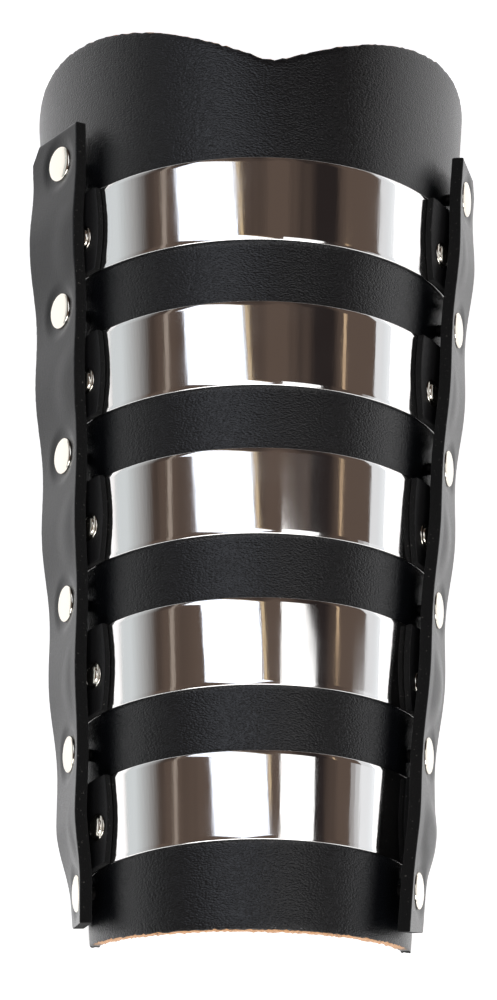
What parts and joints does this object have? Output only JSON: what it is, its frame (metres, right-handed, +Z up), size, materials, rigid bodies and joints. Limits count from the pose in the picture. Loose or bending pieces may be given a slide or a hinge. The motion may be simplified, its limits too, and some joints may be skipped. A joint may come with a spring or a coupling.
{
  "type": "leather gauntlet",
  "caption": "Forearm guard: a thick leather half shell crossed by polished steel bands, with riveted leather tabs and side strips.",
  "frame": {"origin": "middle of the ground under the whole guard, which lies on its two side edges", "axes": "+X across the arm to the guard's right, +Y along the arm towards the elbow, +Z up through the crest"},
  "size_m": [0.1336, 0.2764, 0.0709],
  "materials": {
    "black_leather": "smooth black dyed leather with a fine grain and a soft sheen",
    "strip_leather": "smooth black leather strip with fuzzy cut edges",
    "edge_cut_leather": "black leather tab with a speckled cut edge",
    "polished_steel": "mirror polished stainless steel",
    "nickel_plate": "bright nickel plate"
  },
  "bodies": {
    "root": {"body": "black_leather", "band_1": "polished_steel", "band_2": "polished_steel", "band_3": "polished_steel", "band_4": "polished_steel", "band_5": "polished_steel", "tab_left_1": "edge_cut_leather", "tab_left_2": "edge_cut_leather", "tab_left_3": "edge_cut_leather", "tab_left_4": "edge_cut_leather", "tab_left_5": "edge_cut_leather", "small_rivet_left_1": "nickel_plate", "small_rivet_left_2": "nickel_plate", "small_rivet_left_3": "nickel_plate", "small_rivet_left_4": "nickel_plate", "small_rivet_left_5": "nickel_plate", "strip_left": "strip_leather", "cap_rivet_left_1": "nickel_plate", "cap_rivet_left_2": "nickel_plate", "cap_rivet_left_3": "nickel_plate", "cap_rivet_left_4": "nickel_plate", "cap_rivet_left_5": "nickel_plate", "cap_rivet_left_6": "nickel_plate", "tab_right_1": "edge_cut_leather", "tab_right_2": "edge_cut_leather", "tab_right_3": "edge_cut_leather", "tab_right_4": "edge_cut_leather", "tab_right_5": "edge_cut_leather", "small_rivet_right_1": "nickel_plate", "small_rivet_right_2": "nickel_plate", "small_rivet_right_3": "nickel_plate", "small_rivet_right_4": "nickel_plate", "small_rivet_right_5": "nickel_plate", "strip_right": "strip_leather", "cap_rivet_right_1": "nickel_plate", "cap_rivet_right_2": "nickel_plate", "cap_rivet_right_3": "nickel_plate", "cap_rivet_right_4": "nickel_plate", "cap_rivet_right_5": "nickel_plate", "cap_rivet_right_6": "nickel_plate"}
  },
  "joints": []
}
